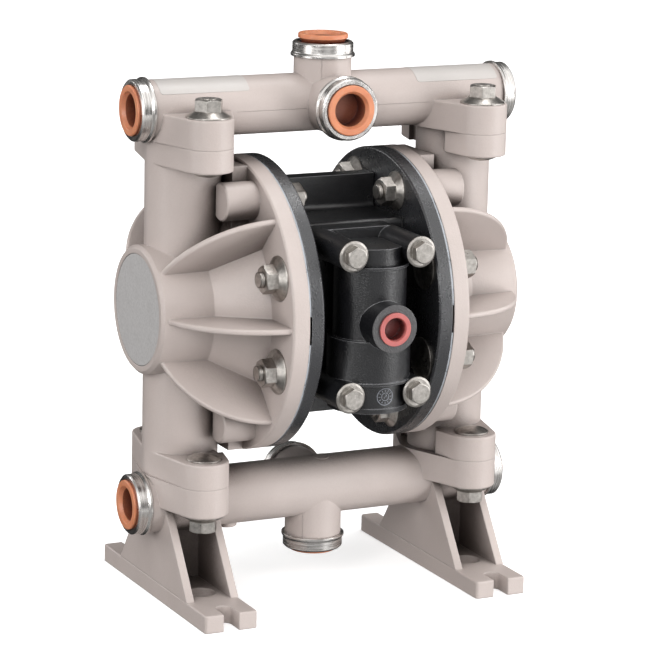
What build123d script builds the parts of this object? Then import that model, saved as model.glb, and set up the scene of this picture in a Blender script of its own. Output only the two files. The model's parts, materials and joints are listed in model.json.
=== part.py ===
from build123d import *
import os
from math import acos, atan2, cos, radians, sin, sqrt

# Half-inch air operated double diaphragm pump, moulded plastic wetted parts.
# Millimetres. +X runs along the diaphragm axis, -Y is the front with the air inlet, +Z is up.
# The origin is on the floor, midway between the two feet.

# Main axes
inlet_z = 50.7            # inlet manifold above the floor
pump_z = 152.85           # diaphragm axis above the floor
outlet_z = 255.0          # outlet manifold above the floor
duct_x = 77.0             # duct, foot and manifold bolts from the middle plane
ear_y = 31.0              # manifold bolts in front of and behind the duct

# Running and standing clearances
fit_gap = 0.05            # between pieces that are pressed or slipped together
run_gap = 0.05            # radial, round a sliding rod or spool
ball_gap = 0.10           # between a ball and its seat
thread_gap = 0.05         # between a screw and its tapped hole
sheet_gap = 0.25          # round a sheet piece in its recess

# Manifolds
outlet_tube_r = 15.0
inlet_tube_r = 15.6
tube_bore_r = 11.2
joint_step = 0.2          # the joint face lies this far outside the tube
plate_t = 15.0            # manifold bolting plate
plate_edge_r = 0.8        # rounded outer edge of a bolting plate
ear_r = 12.8              # rounded end of a bolting plate
collar_r = 19.5           # duct, and the middle of a cap's bolting ear
plate_collar_r = 20.8     # middle of a manifold's bolting plate
collar_shift = 3.5        # the manifold plate bulges this much towards the middle
ball_bore_r = 13.0
side_port_x = 104.9       # end face of each side port
top_port_z = 285.2        # end face of the top outlet port
front_port_y = 33.2       # end face of the front outlet port
rear_port_y = 31.8        # end face of the rear inlet port
bottom_port_z = 18.5      # end face of the bottom inlet port

# Port, its steel ring and its plug
port_boss_r = 14.8
mouth_r = 10.7
mouth_cone_r = 12.5
mouth_cone_len = 3.6
mouth_len = 10.0
port_thread_r = 9.2
port_thread_len = 8.7
port_passage_r = 8.0
ring_len = 6.6
ring_wall = 0.8
ring_lip_r = 13.2
ring_lip_t = 0.8
ring_rim = 0.85           # how far the rolled back rim stands out
ring_rim_len = 1.1
plug_flange_r = 12.8
plug_flange_t = 2.2
plug_gap = 0.3
plug_cavity_r = 8.4
plug_floor_t = 1.0
plug_edge = 0.4
plug_lead_in = 1.3        # flare at the mouth of the plug's cavity
plug_lead_len = 2.0
top_plug_lift = 2.6       # the top plug is only part way in

# Feet
foot_w = 28.6
foot_half_len = 68.1
foot_t = 9.1
foot_corner_r = 1.6
notch_w = 8.6
notch_depth = 9.5
access_hole_r = 7.35
access_hole_y = 30.0
fin_t = 4.2
fin_foot_y = 44.5         # where a fin's edge meets the foot
fin_top_y = 15.0          # where it meets the tube
foot_web_t = 5.0          # upright web between the fins
foot_edge_r = 0.8

# Fluid caps
flange_r = 75.9
cap_flange_t = 8.9
bowl_inset = 25.7         # from the flange's edge to the bowl
crease_dx = 24.0          # from the flange face to the crease at the hub
crease_r = 34.0
hub_r = 33.0
hub_len = 28.1            # from the crease to the end of the hub
hub_rim = 1.6
cap_edge = 0.8
cap_wall = 4.4
end_wall = 4.2
rib_t = 3.0
rib_inset = 2.3           # from the flange's edge to the foot of a rib
rib_bulge = 10.6
rib_edge_r = 1.2
rib_angles = (0, 45, -45, 180, 135, 225)
boss_r = 9.8
boss_flat = 5.0           # from the stud to the flat on the boss
boss_len = 17.7
boss_edge = 0.7
web_half_t = 9.0
upper_ear_t = 11.8
lower_ear_t = 13.1
ear_cut_y = 20.0
ear_cut_in = 13.0         # the cap ear is cut back to this distance inside the duct axis
land_half_w = 16.8
land_inset = 2.1          # flat land on the flange, below its top
land_len = 16.9
duct_bore_r = 13.5
disc_r = 28.5
disc_t = 1.0
disc_recess = 1.2

# Cap bolts
bolt_inset = 13.7         # from the flange's edge to the bolt circle
bolt_angles = (22.5, 67.5, 112.5, 157.5, 202.5, 247.5, 292.5, 337.5)
m8_shank_r = 3.9
m8_hole_r = 4.4
m8_nut_flange_r = 11.4
m8_inner_flange_r = 10.2  # nuts on the air side
hex_top_ratio = 0.97      # a hex's chamfered end against the radius of its flats
hex_corner_slope = 0.6    # fall of that chamfer against its depth
m8_nut_flange_t = 1.0
m8_nut_cone_t = 2.4
m8_nut_af = 13.0
m8_nut_h = 9.3
stud_end = 2.2
manifold_stud_end = 0.4
carriage_head_r = 8.8
carriage_head_h = 3.2
cap_bolt_head_r = 11.2
cap_bolt_head_h = 3.2

# Centre section, from the middle plane outwards
body_half_x = 31.2
gasket_t = 0.8
air_cap_t = 7.2
diaphragm_t = 1.2
body_half_y = 33.0
body_inset = 30.75        # from the flange's edge to the top of the centre body
web_front_y = 0.6
web_t = 10.0
web_inset = 13.15         # from the flange's edge to the top of the web
body_edge_r = 3.0
web_root_r = 3.0
air_cap_edge = 0.9
chamber_inset = 28.9      # from the flange's edge to the pumping chamber
dish_depth = 4.2
pocket_r = 27.2
pocket_depth = 2.4

# Diaphragm, its plates and the connecting rod
diaphragm_edge_in = 0.4
notch_z = 14.4            # slot in the diaphragm edge, front and rear
notch_y = 4.0
washer_r = 25.0
inner_washer_t = 2.6
outer_washer_t = 4.6
washer_edge = 1.2
convolution_gap = 1.0
convolution_h = 7.0
rod_r = 6.35
rod_travel = 7.0
bush_r = 9.0
bush_len = 14.0
bush_start = 8.0
rod_bore_r = 7.2
seal_len = 5.6
rod_screw_r = 3.95
rod_screw_len = 16.0
rod_screw_af = 13.0
rod_screw_flange_r = 8.5
rod_screw_flange_t = 1.5
rod_screw_h = 5.5

# Pilot rod
pilot_drop = 21.0         # below the pump axis
pilot_r = 3.0
pilot_tip_x = 32.3
pilot_bush_r = 5.0
pilot_bush_len = 9.0
pilot_bore_r = 3.8

# Air cap screws
cap_screw_y = 24.0
cap_screw_z = 24.0
cap_screw_r = 2.5
cap_screw_head_r = 5.0
cap_screw_head_t = 2.4
cap_screw_len = 14.0

# Check valves
ball_r = 9.5
ball_rise = 3.2           # ball centre above the joint face when seated
ball_lift = 6.0
seat_r = 16.0
seat_t = 5.0
seat_bore_r = 7.8
seat_shoulder_r = 13.8
seat_shoulder_t = 2.2
seat_ring_r = 1.0
duct_throat_r = 9.0
guide_r = 10.1
guide_t = 2.2
guide_len = 14.0
stop_gap = 0.3
stop_w = 3.2
stop_h = 4.0
stop_peg_r = 4.0

# Valve block
valve_reach = 27.0        # spool axis in front of the centre body
valve_gasket_t = 0.8
slab_t = 12.0
slab_half_x = 26.0
valve_bolt_x = 18.6
valve_bolt_z = 36.0       # above and below the mid height of the four bolts
valve_mid_z = 153.6
valve_boss_r = 7.5
valve_boss_reach = 45.0   # bolt bosses in front of the centre body
valve_upper_r = 18.4
valve_lower_r = 21.2
valve_seam_z = 145.4
valve_top_z = 182.7
valve_bottom_z = 122.9
valve_lip_r = 0.9
valve_lip_t = 1.3
upper_cap_r = 16.4
upper_cap_t = 8.9
lower_cap_r = 19.4
lower_cap_t = 12.1
lower_rim_t = 2.5
inlet_boss_r = 12.3
inlet_boss_reach = 55.6   # air inlet boss in front of the centre body
inlet_thread_r = 5.7
inlet_thread_len = 8.0
inlet_mouth_r = 7.0
inlet_mouth_len = 7.0
red_flange_r = 8.5
red_flange_t = 1.1
red_cavity_r = 5.6
spool_bore_r = 10.0
spool_travel = 8.0
spool_waist_r = 6.0
spool_land = 6.0
spool_ring_t = 2.4
spool_ring_depth = 1.6
spool_end_gap = 0.2
spigot_len = 5.0
feed_x = 8.0
feed_z = 140.0
feed_r = 2.5
feed_cross_y = 20.0

# Valve bolts, M6 flanged
m6_shank_r = 2.95
m6_hole_r = 3.3
m6_flange_r = 7.9
m6_flange_t = 1.4
m6_af = 10.0
m6_head_h = 5.4
m6_depth = 13.0

# Rear exhaust port
exhaust_rise = 28.0       # above the pump axis
exhaust_boss_r = 13.0
exhaust_boss_len = 6.0
exhaust_thread_r = 7.4
exhaust_thread_len = 11.0
exhaust_passage_r = 5.0

# Sizes that follow from those above
outlet_joint_z = outlet_z - outlet_tube_r - joint_step
inlet_joint_z = inlet_z + inlet_tube_r + joint_step
air_cap_x = body_half_x + gasket_t
diaphragm_x = air_cap_x + air_cap_t
cap_x = diaphragm_x + diaphragm_t
cap_face_x = cap_x + cap_flange_t
crease_x = cap_face_x + crease_dx
hub_x = crease_x + hub_len
boss_x = cap_face_x + boss_len
port_depth = mouth_len + port_thread_len
bowl_r = flange_r - bowl_inset
rib_outer_r = flange_r - rib_inset
land_top = flange_r - land_inset
bolt_circle_r = flange_r - bolt_inset
chamber_r = flange_r - chamber_inset
web_half_z = flange_r - web_inset
body_half_z = flange_r - body_inset
valve_y = body_half_y + valve_reach
valve_boss_end_y = body_half_y + valve_boss_reach
inlet_boss_y = body_half_y + inlet_boss_reach
spool_room = valve_top_z - valve_bottom_z - 2 * (spigot_len + spool_end_gap)
spool_len = spool_room - spool_travel


def turned(points):
    """Solid of revolution about the X axis from points of (distance along X, radius)."""
    return revolve(make_face(Polyline(*points, close=True)), Axis.X)


def rod_along_x(radius, start, end):
    """Round rod on the X axis."""
    return Pos((start + end) / 2, 0, 0) * Rot(0, 90, 0) * Cylinder(radius, abs(end - start))


def rod_along_y(radius, start, end):
    """Round rod on the Y axis."""
    return Pos(0, (start + end) / 2, 0) * Rot(90, 0, 0) * Cylinder(radius, abs(end - start))


def rod_along_z(radius, start, end):
    """Round rod on the Z axis."""
    return Pos(0, 0, (start + end) / 2) * Cylinder(radius, abs(end - start))


def block(x_range, y_range, z_range):
    """Box between two corners, given as three pairs of limits."""
    size = [high - low for low, high in (x_range, y_range, z_range)]
    middle = [(high + low) / 2 for low, high in (x_range, y_range, z_range)]
    return Pos(*middle) * Box(*size)


def hex_along_x(across_flats, start, end):
    """Hexagonal prism on the X axis with its corners chamfered at the far end."""
    outline = RegularPolygon(across_flats / 2, 6, major_radius=False)
    prism = Pos(start, 0, 0) * Rot(0, 90, 0) * extrude(outline, end - start)
    flat_r = across_flats / 2
    corner_r = flat_r / cos(radians(30)) + 0.1
    top_r = flat_r * hex_top_ratio
    drop = (corner_r - top_r) * hex_corner_slope
    return prism & turned([(start, 0), (start, corner_r), (end - drop, corner_r), (end, top_r), (end, 0)])


def belt(first, first_r, second, second_r):
    """Flat plan of two discs and the straight tangents that join them."""
    dx = second[0] - first[0]
    dy = second[1] - first[1]
    heading = atan2(dy, dx)
    spread = acos((first_r - second_r) / sqrt(dx * dx + dy * dy))
    corners = []
    for centre, radius, side in ((first, first_r, 1), (second, second_r, 1),
                                 (second, second_r, -1), (first, first_r, -1)):
        angle = heading + side * spread
        corners.append((centre[0] + radius * cos(angle), centre[1] + radius * sin(angle)))
    plan = make_face(Polyline(*corners, close=True))
    plan += Pos(*first) * Circle(first_r)
    plan += Pos(*second) * Circle(second_r)
    return plan


def left_of(shape):
    """Mirror image on the other side of the middle plane."""
    return mirror(shape, about=Plane.YZ)


# Fasteners

def flange_nut(flange_r=m8_nut_flange_r):
    """M8 flange nut that seats at X = 0 and points along +X."""
    flange_end = m8_nut_flange_t + m8_nut_cone_t
    skirt = turned([(0, 0), (0, flange_r), (m8_nut_flange_t * 0.6, flange_r),
                    (m8_nut_flange_t, flange_r - 0.4), (flange_end, m8_nut_af / 2 + 0.6), (flange_end, 0)])
    nut = skirt + hex_along_x(m8_nut_af, flange_end - m8_nut_cone_t, m8_nut_h)
    return nut - rod_along_x(m8_shank_r + thread_gap, -1, m8_nut_h + 1)


def domed_bolt(head_r, head_h, length):
    """M8 bolt with a domed head on the -X side of X = 0 and its shank along +X."""
    edge = head_h * 0.25
    dome = make_face(Line((0, 0), (-head_h, 0))
                     + ThreePointArc((-head_h, 0), (-head_h * 0.8, head_r * 0.55), (-edge, head_r))
                     + Polyline((-edge, head_r), (0, head_r), (0, 0)))
    return revolve(dome, Axis.X) + rod_along_x(m8_shank_r, 0, length)


def m6_bolt(length):
    """M6 flanged hex bolt with its head on the +X side of X = 0."""
    head = turned([(0, 0), (0, m6_flange_r), (m6_flange_t * 0.6, m6_flange_r),
                   (m6_flange_t, m6_flange_r - 1.0), (m6_flange_t, 0)])
    return head + hex_along_x(m6_af, m6_flange_t, m6_head_h) + rod_along_x(m6_shank_r, -length, 0)


def manifold_bolt_places():
    """The four bolt centres, as (x, y)."""
    return [(side * duct_x, row * ear_y) for side in (-1, 1) for row in (-1, 1)]


def upper_manifold_bolt():
    grip = upper_ear_t + plate_t
    bolt = domed_bolt(carriage_head_r, carriage_head_h, grip + m8_nut_h + manifold_stud_end)
    return Pos(0, 0, outlet_joint_z - upper_ear_t) * Rot(0, -90, 0) * bolt


def lower_manifold_bolt():
    grip = lower_ear_t + plate_t
    bolt = domed_bolt(carriage_head_r, carriage_head_h, grip + m8_nut_h + manifold_stud_end)
    return Pos(0, 0, inlet_joint_z + lower_ear_t) * Rot(0, 90, 0) * bolt


def upper_manifold_nut():
    return Pos(0, 0, outlet_joint_z + plate_t) * Rot(0, -90, 0) * flange_nut()


def lower_manifold_nut():
    return Pos(0, 0, inlet_joint_z - plate_t) * Rot(0, 90, 0) * flange_nut()


def at_manifold_bolts(fastener):
    return [Pos(x, y, 0) * fastener for x, y in manifold_bolt_places()]


def bolt_place(angle):
    """Place on the bolt circle. Angle 0 is the front and 90 the top."""
    return Pos(0, -bolt_circle_r * cos(radians(angle)), pump_z + bolt_circle_r * sin(radians(angle)))


def is_blind(angle):
    """The four bolts beside the ducts are studs, held in closed bosses."""
    return abs(sin(radians(angle))) > 0.7


def right_cap_bolt(angle):
    """A stud with its nut on the air side, or a bolt with its nut on the fluid side."""
    if is_blind(angle):
        inner_end = air_cap_x - m8_nut_h - stud_end
        return bolt_place(angle) * rod_along_x(m8_shank_r, inner_end, boss_x - cap_wall)
    length = cap_face_x - air_cap_x + m8_nut_h + stud_end
    return bolt_place(angle) * Pos(air_cap_x, 0, 0) * domed_bolt(cap_bolt_head_r, cap_bolt_head_h, length)


def right_cap_nut(angle):
    if is_blind(angle):
        nut = flange_nut(m8_inner_flange_r)
        return bolt_place(angle) * Pos(air_cap_x, 0, 0) * Rot(0, 0, 180) * nut
    return bolt_place(angle) * Pos(cap_face_x, 0, 0) * flange_nut()


# Ports. A port's own frame has its end face at X = 0 and +X pointing out of the pump.

port_places = {
    "outlet_left": Pos(-side_port_x, 0, outlet_z) * Rot(0, 0, 180),
    "outlet_right": Pos(side_port_x, 0, outlet_z),
    "outlet_top": Pos(0, 0, top_port_z) * Rot(0, -90, 0),
    "outlet_front": Pos(0, -front_port_y, outlet_z) * Rot(0, 0, -90),
    "inlet_left": Pos(-side_port_x, 0, inlet_z) * Rot(0, 0, 180),
    "inlet_right": Pos(side_port_x, 0, inlet_z),
    "inlet_bottom": Pos(0, 0, bottom_port_z) * Rot(0, 90, 0),
    "inlet_rear": Pos(0, rear_port_y, inlet_z) * Rot(0, 0, 90),
}


def port_hole(passage_end):
    """Mouth, thread and passage of a port, cut from the end face inwards."""
    return turned([(1, 0), (1, mouth_cone_r), (0, mouth_cone_r), (-mouth_cone_len, mouth_r),
                   (-mouth_len, mouth_r), (-mouth_len, port_thread_r), (-port_depth, port_thread_r),
                   (-port_depth, port_passage_r), (-passage_end, port_passage_r), (-passage_end, 0)])


def port_ring():
    """Pressed steel ring with a turned-in lip and a rolled back rim."""
    inner = port_boss_r + fit_gap
    outer = inner + ring_wall
    rim = outer + ring_rim
    return turned([(-ring_len, inner), (-ring_len, rim), (-ring_len + ring_rim_len, rim),
                   (-ring_len + 2 * ring_rim_len, outer), (0, outer), (ring_lip_t, outer - ring_lip_t),
                   (ring_lip_t, ring_lip_r), (0, ring_lip_r), (0, inner)])


def port_plug():
    """Push-in shipping plug with a flange, a tapered body and an open cavity."""
    body_r = mouth_r - plug_gap
    end = -mouth_len + plug_gap
    floor = end + plug_floor_t
    return turned([(end, 0), (end, body_r - plug_gap), (-mouth_cone_len, body_r),
                   (0, mouth_cone_r - plug_gap), (0, plug_flange_r),
                   (plug_flange_t - plug_edge, plug_flange_r), (plug_flange_t, plug_flange_r - plug_edge),
                   (plug_flange_t, plug_cavity_r + plug_lead_in),
                   (plug_flange_t - plug_lead_len, plug_cavity_r), (floor, plug_cavity_r), (floor, 0)])


# Check valves. The frame's origin is on the joint face, on the duct axis.

def ball_seat():
    """Seat ring whose upper corner carries its sealing ring."""
    rim_r = seat_r - fit_gap
    ring = turned([(-seat_t, seat_bore_r), (-seat_t, rim_r), (-seat_shoulder_t, rim_r),
                   (-seat_shoulder_t, seat_shoulder_r), (0, seat_shoulder_r), (0, seat_bore_r)])
    return Rot(0, -90, 0) * ring - Pos(0, 0, ball_rise) * Sphere(ball_r + ball_gap)


def seat_seal():
    middle_r = (seat_shoulder_r + seat_r) / 2
    return Pos(0, 0, -seat_ring_r - fit_gap) * Torus(middle_r, seat_ring_r)


def ball():
    return Pos(0, 0, ball_rise) * Sphere(ball_r)


def ball_guides(bore_r):
    """Four ribs that keep a ball on the axis while it lifts."""
    ribs = []
    for angle in (45, 135, 225, 315):
        rib = block((guide_r, bore_r + 1), (-guide_t / 2, guide_t / 2), (0, guide_len))
        ribs.append(Rot(0, 0, angle) * rib)
    return ribs


# Manifolds

def manifold_plate():
    """Plan of the bolting plate over the right duct."""
    plan = Sketch() + Pos(duct_x, 0) * Circle(plate_collar_r)
    for row in (-1, 1):
        plan += belt((duct_x, row * ear_y), ear_r, (duct_x, 0), plate_collar_r)
        plan += belt((duct_x, row * ear_y), ear_r, (duct_x - collar_shift, 0), plate_collar_r)
    ring_room = Pos(side_port_x, 0) * Rectangle(2 * (ring_len + fit_gap), 4 * ear_y)
    return plan - ring_room


def plate(plan, bottom, top, rounded):
    """Bolting plate between two heights, with its outline rounded at one of them."""
    body = Pos(0, 0, bottom) * extrude(plan, top - bottom)
    rim = body.edges().group_by(Axis.Z)[-1 if rounded == top else 0]
    return fillet(rim, plate_edge_r)


def both_sides(shape):
    return [shape, left_of(shape)]


def manifold(axis_z, tube_r, names):
    """Tube with two bolting plates and four port bosses, before its holes are cut."""
    tube_end = side_port_x - ring_len - fit_gap
    body = Pos(0, 0, axis_z) * rod_along_x(tube_r, -tube_end, tube_end)
    for name in names:
        if name.endswith("left") or name.endswith("right"):
            boss = rod_along_x(port_boss_r, -ring_len - 1, 0)
        else:
            reach = (port_places[name].position - Vector(0, 0, axis_z)).length
            boss = rod_along_x(port_boss_r, -reach, 0)
        body += port_places[name] * boss
    return body


def port_holes(axis_z, names):
    """Holes of a manifold's four ports; the side ones stop at the long bore."""
    holes = []
    for name in names:
        reach = (port_places[name].position - Vector(0, 0, axis_z)).length
        at_side = name.endswith("left") or name.endswith("right")
        holes.append(port_places[name] * port_hole(port_depth + 0.5 if at_side else reach))
    return holes


def long_bore(axis_z):
    half = side_port_x - port_depth
    return Pos(0, 0, axis_z) * rod_along_x(tube_bore_r, -half, half)


def outlet_manifold():
    names = [name for name in port_places if name.startswith("outlet")]
    body = manifold(outlet_z, outlet_tube_r, names)
    top = outlet_joint_z + plate_t
    chamber = Pos(duct_x, 0, 0) * rod_along_z(ball_bore_r, outlet_joint_z, outlet_z)
    body += both_sides(plate(manifold_plate(), outlet_joint_z, top, top))
    body -= long_bore(outlet_z)
    body -= both_sides(chamber)
    ball_top = outlet_joint_z + ball_rise + ball_r + ball_lift + stop_gap
    peg = Pos(duct_x, 0, 0) * rod_along_z(stop_peg_r, ball_top, outlet_z + tube_bore_r + 1)
    guides = [Pos(duct_x, 0, outlet_joint_z) * rib for rib in ball_guides(ball_bore_r)]
    body += both_sides(peg)
    for guide in guides:
        body += both_sides(guide)
    for hole in port_holes(outlet_z, names):
        body -= hole
    for bolt_x, bolt_y in manifold_bolt_places():
        body -= Pos(bolt_x, bolt_y, 0) * rod_along_z(m8_hole_r, outlet_joint_z - 1, top + 1)
    return body


def foot():
    """Right foot: base with open slots, two fins and the web between them."""
    low_x = duct_x - foot_w / 2
    high_x = duct_x + foot_w / 2
    base = block((low_x, high_x), (-foot_half_len, foot_half_len), (0, foot_t))
    base = fillet(base.edges().filter_by(Axis.Z), foot_corner_r)
    base = fillet(base.edges().group_by(Axis.Z)[-1], foot_edge_r)
    top_z = inlet_z
    side = make_face(Polyline((-fin_foot_y, foot_t), (fin_foot_y, foot_t),
                              (fin_top_y, top_z), (-fin_top_y, top_z), close=True))
    fin = extrude(Plane.YZ * side, fin_t)
    body = base + Pos(low_x, 0, 0) * fin + Pos(high_x - fin_t, 0, 0) * fin
    body += block((low_x + 1, high_x - 1), (-foot_web_t / 2, foot_web_t / 2), (foot_t - 1, top_z))
    for row in (-1, 1):
        end = row * foot_half_len
        bottom = row * (foot_half_len - notch_depth)
        body -= Pos(duct_x, bottom, 0) * rod_along_z(notch_w / 2, -1, foot_t + 1)
        body -= block((duct_x - notch_w / 2, duct_x + notch_w / 2),
                      (min(bottom, end + row), max(bottom, end + row)), (-1, foot_t + 1))
        body -= Pos(duct_x, row * access_hole_y, 0) * rod_along_z(access_hole_r, -1, foot_t + 1)
    return body


def inlet_manifold():
    names = [name for name in port_places if name.startswith("inlet")]
    body = manifold(inlet_z, inlet_tube_r, names)
    bottom = inlet_joint_z - plate_t
    body += both_sides(plate(manifold_plate(), bottom, inlet_joint_z, bottom))
    body += both_sides(foot())
    body -= long_bore(inlet_z)
    for hole in port_holes(inlet_z, names):
        body -= hole
    throat = Pos(duct_x, 0, 0) * rod_along_z(duct_throat_r, inlet_z, inlet_joint_z)
    pocket = Pos(duct_x, 0, 0) * rod_along_z(seat_r, inlet_joint_z - seat_t, inlet_joint_z + 1)
    body -= both_sides(throat)
    body -= both_sides(pocket)
    for bolt_x, bolt_y in manifold_bolt_places():
        body -= Pos(bolt_x, bolt_y, 0) * rod_along_z(m8_hole_r, bottom - 1, inlet_joint_z + 1)
    return body


# Fluid caps

def cap_rib():
    """One thin rib with an arched edge, lying in the XY plane."""
    start = (hub_x - 2 * hub_rim, hub_r - 0.5)
    end = (cap_face_x, rib_outer_r)
    chord = (end[0] - start[0], end[1] - start[1])
    length = sqrt(chord[0] ** 2 + chord[1] ** 2)
    middle = ((start[0] + end[0]) / 2 + chord[1] / length * rib_bulge,
              (start[1] + end[1]) / 2 - chord[0] / length * rib_bulge)
    side = make_face(ThreePointArc(start, middle, end)
                     + Polyline(end, (cap_face_x - 1, rib_outer_r), (cap_face_x - 1, hub_r - cap_wall),
                                (start[0], hub_r - cap_wall), start))
    rib = Pos(0, 0, -rib_t / 2) * extrude(side, rib_t)
    arched = [edge for edge in rib.edges() if edge.geom_type == GeomType.CIRCLE]
    return fillet(arched, rib_edge_r)


def cap_ear(half_length_plan):
    """Plan of a cap's bolting ear, cut back on the side of the flange."""
    plan = Sketch() + Pos(duct_x, 0) * Circle(collar_r)
    for row in (-1, 1):
        plan += belt((duct_x, row * ear_y), ear_r, (duct_x, 0), collar_r)
    notch = Pos(duct_x - ear_cut_in - half_length_plan, 0) * Rectangle(2 * half_length_plan, 2 * ear_cut_y)
    plan -= notch
    return plan + Pos(duct_x, 0) * Circle(collar_r)


def flange_land():
    """Flat land that runs from the top of the flange towards the duct, mirrored below it."""
    return block((cap_x, cap_x + land_len), (-land_half_w, land_half_w), (0, land_top))


def stud_boss(side):
    """Closed boss of a stud, round with a flat that faces the middle. Side is 1 in front and -1 behind."""
    body = turned([(cap_face_x - 1, 0), (cap_face_x - 1, boss_r), (boss_x - boss_edge, boss_r),
                   (boss_x, boss_r - boss_edge), (boss_x, 0)])
    beyond = Pos(0, side * (boss_flat + boss_r), 0) * Box(3 * boss_x, 2 * boss_r, 4 * boss_r)
    return body - beyond


def right_fluid_cap():
    on_axis = Pos(0, 0, pump_z)
    edge = cap_edge
    shell = turned([(cap_x, 0), (cap_x, flange_r), (cap_face_x - edge, flange_r),
                    (cap_face_x, flange_r - edge), (cap_face_x, bowl_r), (crease_x, crease_r),
                    (hub_x - hub_rim, hub_r), (hub_x, hub_r - hub_rim), (hub_x, 0)])
    body = on_axis * shell
    for angle in rib_angles:
        body += on_axis * Rot(angle, 0, 0) * cap_rib()
    body += Pos(duct_x, 0, 0) * rod_along_z(collar_r, inlet_joint_z, outlet_joint_z)
    ear_bottom = outlet_joint_z - upper_ear_t
    ear_top = inlet_joint_z + lower_ear_t
    body += plate(cap_ear(ear_y), ear_bottom, outlet_joint_z, ear_bottom)
    body += plate(cap_ear(ear_y), inlet_joint_z, ear_top, ear_top)
    web_top = bolt_circle_r + 1.0
    body += block((cap_face_x - 1, duct_x), (-web_half_t, web_half_t), (pump_z - web_top, pump_z + web_top))
    land = flange_land()
    body += on_axis * land
    body += on_axis * Rot(180, 0, 0) * land
    for angle in bolt_angles:
        if is_blind(angle):
            body += bolt_place(angle) * stud_boss(1 if cos(radians(angle)) > 0 else -1)
    return body - cap_hollow()


def cap_hollow():
    """Everything that is cut out of the right fluid cap."""
    on_axis = Pos(0, 0, pump_z)
    far_x = hub_x - disc_recess - end_wall
    chamber = turned([(cap_x - 1, 0), (cap_x - 1, chamber_r), (cap_x, chamber_r),
                      (cap_face_x, bowl_r - cap_wall), (crease_x, crease_r - cap_wall),
                      (far_x, hub_r - cap_wall), (far_x, 0)])
    recess = rod_along_x(disc_r + sheet_gap, hub_x - disc_recess, hub_x + 1)
    throat_z = outlet_joint_z - seat_t
    duct = rod_along_z(duct_bore_r, inlet_joint_z - 1, throat_z - cap_wall)
    guides = [Pos(0, 0, inlet_joint_z) * rib for rib in ball_guides(duct_bore_r)]
    ball_top = inlet_joint_z + ball_rise + ball_r + ball_lift + stop_gap
    stop = block((-duct_bore_r, duct_bore_r), (-stop_w / 2, stop_w / 2), (ball_top, ball_top + stop_h))
    duct -= guides
    duct -= stop
    duct += rod_along_z(duct_throat_r, throat_z - cap_wall - 1, throat_z + 1)
    duct += rod_along_z(seat_r, throat_z, outlet_joint_z + 1)
    holes = [on_axis * chamber, on_axis * recess, Pos(duct_x, 0, 0) * duct]
    for angle in bolt_angles:
        far_end = boss_x - cap_wall if is_blind(angle) else cap_face_x + 1
        hole_r = m8_shank_r + thread_gap if is_blind(angle) else m8_hole_r
        holes.append(bolt_place(angle) * rod_along_x(hole_r, cap_x - 1, far_end))
    for row in (-1, 1):
        ear_hole = Pos(duct_x, row * ear_y, 0)
        holes.append(ear_hole * rod_along_z(m8_hole_r, outlet_joint_z - upper_ear_t - 1, outlet_joint_z + 1))
        holes.append(ear_hole * rod_along_z(m8_hole_r, inlet_joint_z - 1, inlet_joint_z + lower_ear_t + 1))
    return holes


def right_end_disc():
    start = hub_x - disc_recess
    return Pos(0, 0, pump_z) * rod_along_x(disc_r, start, start + disc_t)


# Centre section

def right_air_cap():
    """Round plate with a dished outer face that forms the air chamber."""
    floor_x = diaphragm_x - dish_depth
    disc = turned([(air_cap_x, pocket_r), (air_cap_x, flange_r - air_cap_edge),
                   (air_cap_x + air_cap_edge, flange_r), (diaphragm_x, flange_r), (diaphragm_x, chamber_r),
                   (floor_x, chamber_r - dish_depth), (floor_x, pocket_r)])
    body = Pos(0, 0, pump_z) * disc
    for angle in bolt_angles:
        body -= bolt_place(angle) * rod_along_x(m8_hole_r, air_cap_x - 1, diaphragm_x + 1)
    for place in cap_screw_places():
        body -= place * cap_screw(thread_gap)
    return body


def cap_screw_places():
    """Right-hand air cap screws, in the floor of the dish."""
    floor_x = diaphragm_x - dish_depth
    return [Pos(floor_x, row * cap_screw_y, pump_z + level * cap_screw_z)
            for row in (-1, 1) for level in (-1, 1)]


def cap_screw(extra=0.0):
    """Countersunk screw whose head is flush with X = 0 and whose shank points along -X."""
    head = cap_screw_head_r + extra
    shank = cap_screw_r + extra
    return turned([(0, 0), (0, head), (-cap_screw_head_t, shank),
                   (-cap_screw_len - extra, shank), (-cap_screw_len - extra, 0)])


def air_cap_gasket():
    sheet = block((body_half_x, air_cap_x), (-body_half_y, body_half_y),
                  (pump_z - body_half_z, pump_z + body_half_z))
    sheet -= Pos(0, 0, pump_z) * rod_along_x(pocket_r, body_half_x - 1, air_cap_x + 1)
    for place in cap_screw_places():
        sheet -= place * rod_along_x(cap_screw_r + sheet_gap, -cap_screw_len, 0)
    return sheet


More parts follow.
